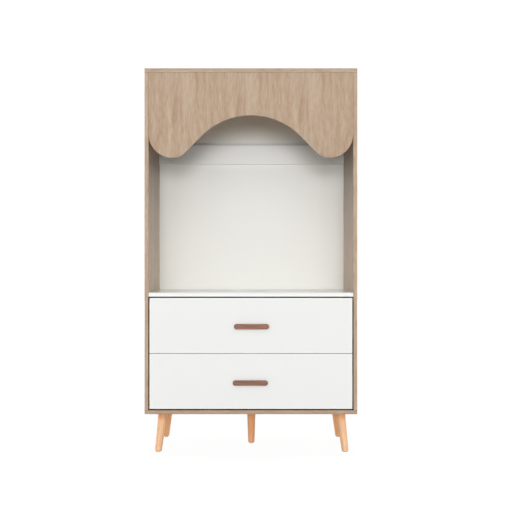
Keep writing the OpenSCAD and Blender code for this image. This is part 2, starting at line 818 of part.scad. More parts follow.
// The groove for a drawer bottom, open on all inner faces of the box
module base_cuts(level) {
    z = box_z(level) + base_lift;
    slab(
        [-box_in - base_groove, front_y1 - base_groove, z - fit],
        [box_in + base_groove, box_y1 - box_back_t + base_groove, z + base_t + fit]
    );
}

module drawer_front(level) {
    color(white) difference() {
        slab([-front_half, front_y, front_z(level)], [front_half, front_y1, front_z(level) + front_h]);
        base_cuts(level);
        thread_cuts(concat(box_joints(level, left), box_joints(level, right)));
        screw_cuts(handle_screws(level), handle_screw_len, handle_screw_d);
    }
}

module drawer_side(level, s) {
    inner_x = s * box_in;
    outer_x = s * box_half;
    color(white) difference() {
        slab(
            [min(inner_x, outer_x), front_y1, box_z(level)],
            [max(inner_x, outer_x), box_y1, box_z(level) + box_h]
        );
        base_cuts(level);
        cam_cuts(box_joints(level, s));
        screw_cuts(inner_slide_screws(level, s), screw_len, screw_d);
        screw_cuts(box_back_screws(level, s), back_screw_len, back_screw_d);
    }
}

module drawer_back(level) {
    color(white) difference() {
        slab([-box_in, box_y1 - box_back_t, box_z(level)], [box_in, box_y1, box_z(level) + box_h]);
        base_cuts(level);
        for (s = [left, right]) {
            screw_cuts(box_back_screws(level, s), back_screw_len, back_screw_d);
        }
    }
}

module drawer_bottom(level) {
    z = box_z(level) + base_lift;
    color(white) slab(
        [-base_half, front_y1 - base_groove + seat_gap, z],
        [base_half, box_y1 - box_back_t + base_groove - seat_gap, z + base_t]
    );
}

// A round-ended bar on two feet, bored for the screws that come through the front
module drawer_handle(level) {
    middle = [handle_x(level), front_y - handle_reach, handle_z(level)];
    end = [(handle_w - handle_h) / 2, 0, 0];
    color(brown) difference() {
        union() {
            bar(middle + end, [0, 1, 0], 0, handle_bar_t, handle_h / 2);
            bar(middle - end, [0, 1, 0], 0, handle_bar_t, handle_h / 2);
            slab(middle - end - [0, 0, handle_h / 2], middle + end + [0, handle_bar_t, handle_h / 2]);
            for (s = handle_screws(level)) {
                bar([s[0].x, front_y, s[0].z], [0, -1, 0], 0, handle_gap + over, handle_foot_d / 2);
            }
        }
        screw_cuts(handle_screws(level), handle_screw_len, handle_screw_d);
    }
}

module box_cam_locks(level) {
    color(dark_zinc) for (s = [left, right], j = box_joints(level, s)) {
        cam_lock(j);
    }
}

module box_cam_bolts(level) {
    color(zinc) for (s = [left, right], j = box_joints(level, s)) {
        cam_bolt(j);
    }
}

module box_slide_screws(level) {
    screws(concat(inner_slide_screws(level, left), inner_slide_screws(level, right)), screw_len, screw_d);
}

module box_corner_screws(level) {
    both_sides = concat(box_back_screws(level, left), box_back_screws(level, right));
    screws(both_sides, back_screw_len, back_screw_d);
}

module drawer_handle_screws(level) {
    screws(handle_screws(level), handle_screw_len, handle_screw_d);
}

top_panel();
bottom_panel();
side_panel(left);  // left_side_panel
side_panel(right);  // right_side_panel
valance_panel();
drawer_deck();
upper_back_panel();
lower_back_panel();
back_rail();
hanging_rod();
rod_sockets();
leg(corner_leg(-1, -1));  // front_left_leg
leg(corner_leg(1, -1));  // front_right_leg
leg(corner_leg(-1, 1));  // rear_left_leg
leg(corner_leg(1, 1));  // rear_right_leg
leg(centre_leg_place);  // centre_leg
corner_leg_plates();
leg_plate(centre_leg_place);  // centre_leg_plate
leg_bolts();
leg_glides();
carcass_cam_locks();
carcass_cam_bolts();
carcass_dowels();
carcass_screws();
back_panel_screws();
wall_anchor_brackets();
outer_slide(upper, left);  // upper_left_outer_slide
outer_slide(upper, right);  // upper_right_outer_slide
outer_slide(lower, left);  // lower_left_outer_slide
outer_slide(lower, right);  // lower_right_outer_slide
middle_slide(upper, left);  // upper_left_middle_slide
middle_slide(upper, right);  // upper_right_middle_slide
middle_slide(lower, left);  // lower_left_middle_slide
middle_slide(lower, right);  // lower_right_middle_slide
inner_slide(upper, left);  // upper_left_inner_slide
inner_slide(upper, right);  // upper_right_inner_slide
inner_slide(lower, left);  // lower_left_inner_slide
inner_slide(lower, right);  // lower_right_inner_slide
drawer_front(upper);  // upper_drawer_front
drawer_side(upper, left);  // upper_drawer_left_side
drawer_side(upper, right);  // upper_drawer_right_side
drawer_back(upper);  // upper_drawer_back
drawer_bottom(upper);  // upper_drawer_bottom
drawer_handle(upper);  // upper_drawer_handle
box_cam_locks(upper);  // upper_drawer_cam_locks
box_cam_bolts(upper);  // upper_drawer_cam_bolts
box_slide_screws(upper);  // upper_drawer_slide_screws
box_corner_screws(upper);  // upper_drawer_back_screws
drawer_handle_screws(upper);  // upper_handle_screws
drawer_front(lower);  // lower_drawer_front
drawer_side(lower, left);  // lower_drawer_left_side
drawer_side(lower, right);  // lower_drawer_right_side
drawer_back(lower);  // lower_drawer_back
drawer_bottom(lower);  // lower_drawer_bottom
drawer_handle(lower);  // lower_drawer_handle
box_cam_locks(lower);  // lower_drawer_cam_locks
box_cam_bolts(lower);  // lower_drawer_cam_bolts
box_slide_screws(lower);  // lower_drawer_slide_screws
box_corner_screws(lower);  // lower_drawer_back_screws
drawer_handle_screws(lower);  // lower_handle_screws
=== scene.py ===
# Looks of a children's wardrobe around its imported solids: boards with eased edges, turned legs,
# wooden handles and steel fittings, each with a finish of its own. Lengths are in metres.
import json
import math

import bpy
import numpy as np
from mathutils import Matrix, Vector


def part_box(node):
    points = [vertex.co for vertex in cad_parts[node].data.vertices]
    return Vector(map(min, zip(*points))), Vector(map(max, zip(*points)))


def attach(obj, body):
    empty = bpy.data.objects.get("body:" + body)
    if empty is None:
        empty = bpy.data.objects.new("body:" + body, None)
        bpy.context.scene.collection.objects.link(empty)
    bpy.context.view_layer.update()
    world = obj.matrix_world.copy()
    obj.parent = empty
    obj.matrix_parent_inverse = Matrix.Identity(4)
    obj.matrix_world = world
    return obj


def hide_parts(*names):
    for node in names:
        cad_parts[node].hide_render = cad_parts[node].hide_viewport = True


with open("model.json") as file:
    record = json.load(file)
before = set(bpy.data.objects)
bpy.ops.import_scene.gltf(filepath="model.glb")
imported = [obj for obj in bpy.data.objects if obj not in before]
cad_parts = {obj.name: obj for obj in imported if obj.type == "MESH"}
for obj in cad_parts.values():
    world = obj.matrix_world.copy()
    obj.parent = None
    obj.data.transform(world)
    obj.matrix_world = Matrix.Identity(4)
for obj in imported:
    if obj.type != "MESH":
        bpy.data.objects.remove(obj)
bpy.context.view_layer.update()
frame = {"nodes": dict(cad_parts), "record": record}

print("stage: frame loaded,", len(frame["nodes"]), "nodes")

slotOfNode = {part["node"]: part["material_slot"] for part in frame["record"]["subparts"]}
bodyOfNode = {
    node: body for body, nodes in frame["record"]["behaviour"]["bodies"].items() for node in nodes
}


def linear(colour):
    # An 8-bit sRGB colour as the linear colour that a socket takes
    share = np.array(colour) / 255
    light = np.where(share <= 0.04045, share / 12.92, ((share + 0.055) / 1.055) ** 2.4)
    return (*light.tolist(), 1.0)


def toned(colour, factor):
    # The same times a factor, or times one each for its red, green and blue
    return (*(np.array(linear(colour)[:3]) * factor).tolist(), 1.0)


def camel(node):
    first, *rest = node.split("_")
    return first + "".join(word.capitalize() for word in rest)


def placed(name, data):
    # A new object in the scene
    made = bpy.data.objects.new(name, data)
    bpy.context.scene.collection.objects.link(made)
    return made


class Wire:
    # A socket that takes part in arithmetic: each operation adds one Math node
    def __init__(self, finish, socket):
        self.finish = finish
        self.socket = socket

    def __add__(self, other):
        return self.finish.math("ADD", self, other)

    def __radd__(self, other):
        return self.finish.math("ADD", other, self)

    def __sub__(self, other):
        return self.finish.math("SUBTRACT", self, other)

    def __rsub__(self, other):
        return self.finish.math("SUBTRACT", other, self)

    def __mul__(self, other):
        return self.finish.math("MULTIPLY", self, other)

    def __rmul__(self, other):
        return self.finish.math("MULTIPLY", other, self)

    def __truediv__(self, other):
        return self.finish.math("DIVIDE", self, other)


class Finish:
    # A material while it is made: its nodes are added here, and its shader takes the results
    def __init__(self, name, **constants):
        self.material = bpy.data.materials.new(name)
        self.material.use_nodes = True
        self.tree = self.material.node_tree
        self.shader = self.tree.nodes["Principled BSDF"]
        for socket, value in constants.items():
            self.shader.inputs[socket.replace("_", " ")].default_value = value

    def node(self, kind, settings=None, inputs=None, output=0):
        made = self.tree.nodes.new("ShaderNode" + kind)
        for name, value in (settings or {}).items():
            if name == "stops":
                setStops(made.color_ramp, value)
            else:
                setattr(made, name, value)
        for name, value in (inputs or {}).items():
            self.feed(made.inputs[name], value)
        return Wire(self, made.outputs[output])

    def feed(self, socket, value):
        if isinstance(value, Wire):
            self.tree.links.new(value.socket, socket)
        else:
            socket.default_value = value

    def set(self, name, value):
        self.feed(self.shader.inputs[name], value)

    def math(self, operation, *values):
        return self.node("Math", {"operation": operation}, dict(enumerate(values)))

    def place(self):
        return self.node("TexCoord", output="Object")

    def facing(self):
        return self.node("TexCoord", output="Normal")

    def axes(self, vector):
        split = self.tree.nodes.new("ShaderNodeSeparateXYZ")
        self.feed(split.inputs[0], vector)
        return [Wire(self, socket) for socket in split.outputs]

    def join(self, x, y, z):
        return self.node("CombineXYZ", inputs={0: x, 1: y, 2: z})

    def stretch(self, vector, scale):
        return self.node("VectorMath", {"operation": "MULTIPLY"}, {0: vector, 1: scale})

    def noise(self, vector, scale, detail=2.0, roughness=0.5, distortion=0.0):
        return self.node("TexNoise", inputs={
            "Vector": vector, "Scale": scale, "Detail": detail,
            "Roughness": roughness, "Distortion": distortion,
        })

    def grain(self, vector, scale, detail=2.0, roughness=0.5, distortion=0.0):
        # Noise whose scale has a number for each axis
        return self.noise(self.stretch(vector, scale), 1.0, detail, roughness, distortion)

    def rise(self, value, low, high):
        # From 0 at low to 1 at high, with soft ends; low may be the larger one
        return self.node("MapRange", {"interpolation_type": "SMOOTHSTEP"}, {
            "Value": value, "From Min": low, "From Max": high,
        })

    def band(self, distance, width, soft=0.3):
        # 1 at a distance of 0, and 0 past the width, whose last share is soft
        return self.rise(distance, width, width * (1 - soft))

    def mix(self, share, one, other):
        return self.node("Mix", {"data_type": "RGBA"}, {0: share, 6: one, 7: other}, 2)

    def bump(self, height, depth):
        made = self.node("Bump", inputs={"Height": height, "Distance": depth}, output="Normal")
        self.set("Normal", made)


def setStops(ramp, stops):
    # A ramp's stops are pairs of a place from 0 to 1 and a grey
    while len(ramp.elements) < len(stops):
        ramp.elements.new(1.0)
    for element, (place, grey) in zip(ramp.elements, stops):
        element.position = place
        element.color = (grey, grey, grey, 1.0)


bay = {
    # the drawers' bay, as the solids have it
    "half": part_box("drawer_deck")[1][0],
    "bottom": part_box("bottom_panel")[1][2],
    "deck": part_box("drawer_deck")[0][2],
    "front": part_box("bottom_panel")[0][1],
}

edging = {
    "bandThickness": 0.0008,   # of the strip glued to a board's edges
    "round": 0.0009,           # radius of the oak boards' eased edges
    "wearWidth": 0.0016,       # how far the rubbed tone reaches from an edge
    "spots": (60.0, 3.0),      # the noise that breaks that tone up: its scale and detail
    "spotRange": (0.42, 0.66),
}


def edgeDistance(finish, box):
    # The distance to the nearest edge of a board: the second smallest distance to its faces
    low, high = box
    near = [
        finish.math("MINIMUM", place - lowest, highest - place)
        for place, lowest, highest in zip(finish.axes(finish.place()), low, high)
    ]
    smaller = finish.math("MINIMUM", near[0], near[1])
    larger = finish.math("MAXIMUM", near[0], near[1])
    return finish.math("MINIMUM", larger, finish.math("MAXIMUM", smaller, near[2]))


def rubbed(finish, box):
    # 1 on a board's edges, broken up along them, and 0 away from them
    spots = finish.noise(finish.place(), *edging["spots"])
    near = finish.rise(edgeDistance(finish, box), edging["wearWidth"], 0.0)
    return near * finish.rise(spots, *edging["spotRange"])


gapShade = {
    # painted shade in the gaps round the drawer fronts
    "colour": (54, 38, 25),
    "share": 0.86,
    "depth": (0.018, 0.028),       # behind the bay's front, over which it ends
    "overDeck": 0.001,             # how far it fades out above the deck's underside
    "arris": 0.0018,               # how far it reaches over the arris of a side panel,
    "sill": 0.0006,                # over the bottom panel's,
    "frontArris": 0.0013,          # over the left and right ones of a drawer front
    "frontSill": 0.0009,           # and over the lower front's lowest one
    "frontDepth": (0.002, 0.004),  # behind a front's face, over which it ends there
}


def gapShadeShare(finish):
    # The painted shade's share of a point's colour: all round the inside of the bay, near its
    # front
    x, y, z = finish.axes(finish.place())
    inside = finish.band(finish.math("ABSOLUTE", x) - bay["half"], gapShade["arris"])
    inside = inside * finish.band(bay["bottom"] - z, gapShade["sill"], 0.5)
    inside = inside * finish.rise(z, bay["deck"] + gapShade["overDeck"], bay["deck"])
    near, far = gapShade["depth"]
    return inside * finish.rise(y, bay["front"] + far, bay["front"] + near) * gapShade["share"]


def frontGapShade(finish, places, box, hasSill):
    # The painted shade's share along the left and right arris of a drawer front, and along its
    # sill
    frontShade = finish.band(box[1][0] - finish.math("ABSOLUTE", places[0]), gapShade["frontArris"])
    if hasSill:
        foot = finish.band(places[2] - box[0][2], gapShade["frontSill"], 0.4)
        frontShade = finish.math("MAXIMUM", frontShade, foot)
    near, far = gapShade["frontDepth"]
    return frontShade * finish.rise(places[1], box[0][1] + far, box[0][1] + near) * gapShade["share"]


oak = {
    "light": (193, 173, 152),      # colour of the palest streaks
    "dark": (166, 137, 111),       # colour of the darkest ones
    "pore": (140, 113, 90),
    "joint": (112, 92, 75),        # a dark line along every edge: partly a glue line where two boards meet, partly painted shade in the crease between them
    "jointWidth": 0.0009,          # of that line on each board
    "jointShare": 0.7,             # of its colour in the board's
    "sideJointShare": 0.3,         # the same on a side panel
    "repeat": 0.2818,              # the printed decor repeats after this width
    "start": -0.3979,              # where one repeat starts
    "streaks": (                   # tone of the main streaks across one repeat
        (0.00, 0.40), (0.20, 0.50), (0.27, 0.95), (0.35, 0.15), (0.41, 0.40), (0.50, 0.75),
        (0.64, 0.85), (0.70, 0.30), (0.76, 0.65), (0.84, 0.35), (0.88, 0.55), (0.95, 0.20),
        (1.00, 0.40),
    ),
    "waver": (                     # how a streak strays: how far, and the noise's scale across
        (0.0060, 5.0, 4.0, 1.0),   # and along the grain and its detail
        (0.0022, 22.0, 9.0, 2.0),
    ),
    # each layer's noise: its scale across, across and along the grain, and its detail
    "fade": ((14.0, 14.0, 9.0), 1.0),          # where streaks fade
    "flame": ((66.0, 66.0, 8.0), 2.0, 0.5, 0.4),
    "fleck": ((150.0, 150.0, 26.0), 2.0),
    "fibre": ((520.0, 520.0, 40.0), 2.0),
    "dash": ((900.0, 900.0, 34.0), 1.0),       # the pores
    "fadeRange": (0.36, 0.64),
    "streakShare": (0.24, 0.66),   # weight of a faded streak, and what a full one adds
    "flameShare": 1.2,
    "fleckShare": 1.0,
    "fibreShare": 0.8,
    "poreRange": (0.66, 0.78),
    "poreShare": 0.3,
    "wearShare": 0.2,
    "roughness": 0.40,             # of the darkest streaks,
    "toneGloss": 0.08,             # less by this on the palest,
    "poreDull": 0.12,              # more by this in the pores
    "dustDull": 0.5,               # and under the painted gap shade
    "poreDepth": 0.00006,
    "skin": (0.0002, 0.0006),      # depths over which the inner face's painted light and shade ends
    "shaded": (0.70, 1.36),        # painted shade of the inner faces high up, where the valance keeps the light off them, and painted light low down; each with its height
    "bleached": (1.14, 0.85),      # them, and low down; each with its height
    "deep": (0.74, 0.66, 0.58),    # a warmer painted shade still at their top
    "deepRise": (1.22, 1.35),      # heights over which that one comes in
}


def innerPaintedShade(finish, colour, place):
    # A side panel's inner face, with painted light low down and painted shade, darker and warmer,
    # high up
    near, far = oak["skin"]
    inner = finish.rise(finish.math("ABSOLUTE", place[0]), bay["half"] + far, bay["half"] + near)
    (shaded, high), (bleached, low) = oak["shaded"], oak["bleached"]
    factor = bleached + (shaded - bleached) * finish.rise(place[2], low, high)
    factor = 1.0 + (factor - 1.0) * inner
    colour = finish.stretch(colour, finish.join(factor, factor, factor))
    shade = inner * finish.rise(place[2], *oak["deepRise"])
    return finish.mix(shade, colour, finish.stretch(colour, oak["deep"]))


def oakFinish(name, along, across, box, paintedLightTint):
    # A printed oak decor. Its grain runs along one axis, and its streaks lie side by side on
    # another, where they repeat as on a roller: the noise is read round a cylinder.
    finish = Finish(name, Specular_IOR_Level=0.42)
    isSide = name.endswith("SidePanel")
    place = finish.axes(finish.place())
    run = place[along]
    side = place[across] + place[3 - along - across]
    strays = [
        (finish.noise(finish.join(side * wide, run * tall, 0.0), 1.0, detail) - 0.5) * (2 * reach)
        for reach, wide, tall, detail in oak["waver"]
    ]
    side = side + strays[0] + strays[1]
    turn = (side - oak["start"]) * (2 * math.pi / oak["repeat"])
    reach = oak["repeat"] / (2 * math.pi)
    ring = finish.join(finish.math("COSINE", turn) * reach, finish.math("SINE", turn) * reach, run)
    phase = finish.math("FRACT", (side - oak["start"]) / oak["repeat"])
    streaks = finish.node("ValToRGB", {"stops": oak["streaks"]}, {0: phase})
    fade = finish.rise(finish.grain(ring, *oak["fade"]), *oak["fadeRange"])
    flame = finish.grain(ring, *oak["flame"])
    fleck = finish.grain(ring, *oak["fleck"])
    fibre = finish.grain(ring, *oak["fibre"])
    least, more = oak["streakShare"]
    tone = 0.5 + (streaks - 0.5) * (least + more * fade) + (flame - 0.5) * oak["flameShare"]
    tone = tone + (fleck - 0.5) * oak["fleckShare"] + (fibre - 0.5) * oak["fibreShare"]
    share = finish.math("MINIMUM", finish.math("MAXIMUM", tone, 0.0), 1.0)
    # the board's tint is painted light and shade over the whole board
    colour = finish.mix(share, toned(oak["dark"], paintedLightTint), toned(oak["light"], paintedLightTint))
    pores = finish.rise(finish.grain(ring, *oak["dash"]), *oak["poreRange"])
    colour = finish.mix(pores * oak["poreShare"], colour, linear(oak["pore"]))
    colour = finish.mix(rubbed(finish, box) * oak["wearShare"], colour, linear(oak["light"]))
    # dark edge line: partly a glue line, partly painted shade in the creases between boards
    joint = finish.band(edgeDistance(finish, box), oak["jointWidth"], 0.4)
    share = oak["sideJointShare"] if isSide else oak["jointShare"]
    colour = finish.mix(joint * share, colour, linear(oak["joint"]))
    # painted shade in the gaps round the drawer fronts
    gapShadeMask = gapShadeShare(finish)
    colour = finish.mix(gapShadeMask, colour, linear(gapShade["colour"]))
    # painted light low down and painted shade high up on a side panel's inner face
    if isSide:
        colour = innerPaintedShade(finish, colour, place)
    finish.set("Base Color", colour)
    roughness = oak["roughness"] - oak["toneGloss"] * tone + oak["poreDull"] * pores
    finish.set("Roughness", roughness + oak["dustDull"] * gapShadeMask)
    finish.bump(fibre * 0.4 - pores, oak["poreDepth"])
    return finish.material


white = {
    "face": (240, 241, 239),
    "edge": (252, 253, 251),       # the glued strip is a little whiter than the board
    "rim": 0.0042,                 # width of the painted highlight along the rims of a drawer front
    "roughness": 0.34,
    "cloud": (7.0, 2.0),           # noise of the uneven gloss
    "cloudRange": (0.25, 0.75),
    "cloudGloss": 0.06,            # how much the roughness changes with it,
    "cloudShade": 0.006,           # and the colour
    "shade": (0.5, 0.5, 0.48, 1.0),
    "peel": (700.0, 2.0),          # noise of the faint orange peel
    "peelDepth": 0.00002,
    # colour of painted shade
    "dust": (0.1, 0.09, 0.08, 1.0),
    "dusty": {"back_rail": (0.0055, 0.2)},   # height and share of painted shade along an upper edge
    "lift": {"drawer_deck": (1.07, 0.85)},   # a board with other tones: the deck's face is painted lighter, standing for the light from above on its top, and its edge darker
    "worn": {"drawer_deck": 0.2},  # roughness of one that use has made smoother
}


def whiteFinish(node, box, rims):
    # White melamine: a faint orange peel, uneven gloss, a whiter strip on the edges, and painted
    # shade and highlights.
    # Each rim is an axis and 0 or 1 for the box's lower or upper side, along which a painted
    # highlight runs.
    finish = Finish(camel(node), Specular_IOR_Level=0.5, Coat_Roughness=0.3)
    cloud = finish.noise(finish.place(), *white["cloud"])
    strip = finish.rise(edgeDistance(finish, box), edging["bandThickness"] * 2, 0.0)
    places = finish.axes(finish.place())
    # a painted highlight along each rim, in the edge strip's whiter colour
    for axis, side in rims:
        reach = places[axis] - box[0][axis] if side == 0 else box[1][axis] - places[axis]
        near = finish.rise(reach, white["rim"] * 1.1, white["rim"] * 0.9)
        strip = finish.math("MAXIMUM", strip, near)
    # the deck's face is painted lighter, standing for the light from above on its top
    faceLift, edgeLift = white["lift"].get(node, (1.0, 1.0))
    colour = finish.mix(strip, toned(white["face"], faceLift), toned(white["edge"], edgeLift))
    # painted shade along a drawer front's left and right arris, and along the lower front's sill
    if node.endswith("_drawer_front"):
        frontShade = frontGapShade(finish, places, box, node.startswith("lower"))
        colour = finish.mix(frontShade, colour, linear(gapShade["colour"]))
    # painted shade along an upper edge
    if node in white["dusty"]:
        height, share = white["dusty"][node]
        dust = finish.band(box[1][2] - places[2], height) * share
        colour = finish.mix(dust, colour, white["dust"])
    shade = finish.rise(cloud, *white["cloudRange"]) * white["cloudShade"]
    finish.set("Base Color", finish.mix(shade, colour, white["shade"]))
    roughness = white["worn"].get(node, white["roughness"])
    finish.set("Roughness", roughness + (cloud - 0.5) * white["cloudGloss"])
    finish.bump(finish.noise(finish.place(), *white["peel"]), white["peelDepth"])
    return finish.material


hardboard = {
    "front": (241, 242, 238),      # lacquered white
    "rear": (178, 148, 118),       # bare, with the print of the press's screen
    "fleck": (128, 99, 74),
    "screen": 0.0021,              # pitch of that screen
    "bareRange": (0.3, 0.7),       # how far a face is turned to the bare side
    "fibres": (260.0, 4.0, 0.65, 0.6),   # noises of the felted fibres, of the dark specks and
    "specks": (900.0, 1.0),              # of the broad mottle
    "broad": (9.0, 3.0, 0.6),
    "speckRange": (0.64, 0.74),
    "broadRange": (0.3, 0.7),
    "broadShare": 0.18,
    "speckShare": 0.5,
    "paintShare": 0.05,            # how much of the fibres shows through the lacquer
    "paintShade": (0.6, 0.6, 0.56, 1.0),
    # colour of the painted shade in the corners and along the rail
    "dust": (0.0, 0.0, 0.0, 1.0),
    "corner": (0.07, 0.06),        # width and share of the painted shade in the corners along both sides
    "ledge": (0.014, 0.01, 0.3),   # reach over and under the rail's edge, and share, of painted shade
    "aged": (1.05, 0.965, 0.86),   # warm painted shade on the lacquer high up
    "agedRise": (1.435, 1.545),    # heights over which that one comes in
    "roughness": (0.5, 0.35),      # of the lacquer, and what the bare side adds
    "depth": 0.0001,
}


def hardboardFinish(name, bareSide, halfWidth, ledge=None):
    # Thin fibreboard: lacquered on one side, bare on the side that bareSide's axis and sign name.
    # The ledge is the height of a rail, along whose upper edge the board behind it gets painted
    # shade.
    finish = Finish(name, Specular_IOR_Level=0.3)
    axis, sign = bareSide
    bare = finish.rise(finish.axes(finish.facing())[axis] * sign, *hardboard["bareRange"])
    place = finish.place()
    fibres = finish.noise(place, *hardboard["fibres"])
    specks = finish.rise(finish.noise(place, *hardboard["specks"]), *hardboard["speckRange"])
    broad = finish.rise(finish.noise(place, *hardboard["broad"]), *hardboard["broadRange"])
    places = finish.axes(place)
    pitch = 2 * math.pi / hardboard["screen"]
    weave = finish.math("SINE", places[0] * pitch) * finish.math("SINE", places[3 - axis] * pitch)
    fleck = linear(hardboard["fleck"])
    mottle = fibres * (1 - hardboard["broadShare"]) + broad * hardboard["broadShare"]
    brown = finish.mix(mottle, fleck, linear(hardboard["rear"]))
    brown = finish.mix(specks * hardboard["speckShare"], brown, fleck)
    thin = fibres * hardboard["paintShare"]
    paint = finish.mix(thin, linear(hardboard["front"]), hardboard["paintShade"])
    # painted shade in the corners along both sides
    width, share = hardboard["corner"]
    corner = finish.rise(halfWidth - finish.math("ABSOLUTE", places[0]), width, 0.0)
    paint = finish.mix(corner * share, paint, hardboard["dust"])
    # painted shade along the rail's upper edge
    if ledge is not None:
        over, under, share = hardboard["ledge"]
        dust = finish.rise(places[2], ledge + over, ledge)
        dust = dust * finish.rise(places[2], ledge - under, ledge)
        paint = finish.mix(dust * share, paint, hardboard["dust"])
    # warm painted shade high up
    aged = finish.rise(places[2], *hardboard["agedRise"])
    paint = finish.mix(aged, paint, finish.stretch(paint, hardboard["aged"]))
    finish.set("Base Color", finish.mix(bare, paint, brown))
    lacquered, more = hardboard["roughness"]
    finish.set("Roughness", lacquered + more * bare)
    finish.bump(bare * (weave * 0.5 + fibres) + (1 - bare) * fibres * 0.1, hardboard["depth"])
    return finish.material


beech = {
    # each wood's pale and dark rings; the rear legs' lighter, warmer copy paints the warm bounce
    # light on them, and the centre leg's darker copy paints its shade under the wardrobe
    "pale": ((253, 207, 165), (237, 182, 136)),
    "warm": ((255, 195, 138), (251, 179, 119)),
    "deep": ((243, 181, 132), (227, 157, 104)),
    "fleck": (208, 148, 104),      # the short dashes that beech shows on every face
    "collar": (0.134, 0.162),      # heights over which a painted shadow of the bottom board comes in on the pale legs
    # colour factors of that painted shadow
    "collarTone": (0.91, 0.71, 0.57),
    "rings": ((95.0, 95.0, 4.5), 3.0, 0.55, 0.4),   # noises of the rings, of the fibre and
    "fibre": ((900.0, 900.0, 30.0), 2.0),           # of the dashes
    "dash": ((700.0, 700.0, 140.0), 1.0),
    "ringShare": 0.75,             # the fibre has the rest of the tone
    "toneRange": (0.3, 0.7),
    "dashRange": (0.66, 0.74),
    "dashShare": 0.4,
    "roughness": 0.38,
    "dashDull": 0.15,              # how much duller the dashes are,
    "fibreDull": 0.05,             # and the fibre
    "depth": 0.00003,
}


def beechFinish(name, vector, wood="pale"):
    # Lacquered beech. The vector gives a point's place in the piece, with z along the grain.
    light, dark = beech[wood]
    finish = Finish(name, Specular_IOR_Level=0.45, Coat_Roughness=0.25, Coat_Weight=0.15)
    place = vector(finish)
    rings = finish.grain(place, *beech["rings"])
    fibre = finish.grain(place, *beech["fibre"])
    dashes = finish.rise(finish.grain(place, *beech["dash"]), *beech["dashRange"])
    tone = rings * beech["ringShare"] + fibre * (1 - beech["ringShare"])
    tone = finish.rise(tone, *beech["toneRange"])
    colour = finish.mix(tone, linear(dark), linear(light))
    colour = finish.mix(dashes * beech["dashShare"], colour, linear(beech["fleck"]))
    # painted shadow of the bottom board on the front legs' tops
    if wood == "pale":
        collar = finish.rise(finish.axes(place)[2], *beech["collar"])
        colour = finish.mix(collar, colour, finish.stretch(colour, beech["collarTone"]))
    finish.set("Base Color", colour)
    dull = dashes * beech["dashDull"] + fibre * beech["fibreDull"]
    finish.set("Roughness", beech["roughness"] + dull)
    finish.bump(fibre - dashes, beech["depth"])
    return finish.material


stain = {
    "light": (166, 121, 101),
    "dark": (126, 89, 75),
    "pore": (88, 60, 50),
    "rings": ((7.0, 170.0, 170.0), 3.0, 0.6, 0.5),   # noises of the rings and of the pores
    "dash": ((60.0, 1400.0, 1400.0), 1.0),
    "toneRange": (0.3, 0.7),
    "poreRange": (0.62, 0.74),
    "poreShare": 0.6,
    "wearShare": 0.4,
    "roughness": 0.42,
    "poreDull": 0.2,               # how much duller the pores are
    "depth": 0.00005,
}


def stainFinish(name, box):
    # Reddish brown stain over a fine-pored wood whose grain runs along X, rubbed at the edges
    finish = Finish(name, Specular_IOR_Level=0.4, Coat_Roughness=0.3, Coat_Weight=0.05)
    place = finish.place()
    rings = finish.grain(place, *stain["rings"])
    pores = finish.rise(finish.grain(place, *stain["dash"]), *stain["poreRange"])
    tone = finish.rise(rings, *stain["toneRange"])
    light = linear(stain["light"])
    colour = finish.mix(tone, linear(stain["dark"]), light)
    colour = finish.mix(pores * stain["poreShare"], colour, linear(stain["pore"]))
    worn = rubbed(finish, box) * stain["wearShare"]
    finish.set("Base Color", finish.mix(worn, colour, light))
    finish.set("Roughness", stain["roughness"] + pores * stain["poreDull"])
    finish.bump(rings * 0.3 - pores, stain["depth"])
    return finish.material


metals = {
    # colour, roughness, how uneven the plating is, and the axis of its drawing lines
    "chrome_steel": {"colour": (212, 214, 218), "roughness": 0.12, "uneven": 0.08, "lines": 0},
    "zinc_steel": {"colour": (196, 199, 203), "roughness": 0.3, "uneven": 0.2, "lines": 1},
    "dark_zinc": {"colour": (150, 152, 154), "roughness": 0.42, "uneven": 0.2, "lines": 1},
}

plating = {
    "across": 1500.0,              # scale of the noise across the drawing lines,
    "along": 14.0,                 # and along them
    "cloud": (45.0, 3.0, 0.6),     # noises of the gloss and of the dull film on it
    "film": (20.0, 4.0),
    "filmRange": (0.5, 0.8),
    "filmShare": 0.45,
    "filmTone": 0.62,
    "depth": 0.00001,
}


def metalFinish(name, metal):
    # Plated steel: cloudy gloss, fine drawing lines along one axis and a dull film in places
    finish = Finish(name, Metallic=1.0)
    place = finish.place()
    scale = [plating["across"]] * 3
    scale[metal["lines"]] = plating["along"]
    lines = finish.grain(place, scale)
    cloud = finish.noise(place, *plating["cloud"])
    film = finish.rise(finish.noise(place, *plating["film"]), *plating["filmRange"])
    dull = toned(metal["colour"], plating["filmTone"])
    colour = finish.mix(film * plating["filmShare"], linear(metal["colour"]), dull)
    finish.set("Base Color", colour)
    uneven = metal["uneven"]
    finish.set("Roughness", metal["roughness"] + (cloud - 0.5) * uneven + lines * uneven * 0.4)
    finish.bump(lines, plating["depth"])
    return finish.material


glide = {
    "colour": (216, 214, 208),
    "scuffed": (168, 162, 152),
    "scuffHeight": 0.0015,         # how far the scuffs reach up from the floor
    "spots": (600.0, 3.0),         # the noise that breaks them up
    "spotRange": (0.35, 0.65),
    "roughness": (0.45, 0.3),      # of the plastic, and what the scuffs add
    "depth": 0.00002,
}


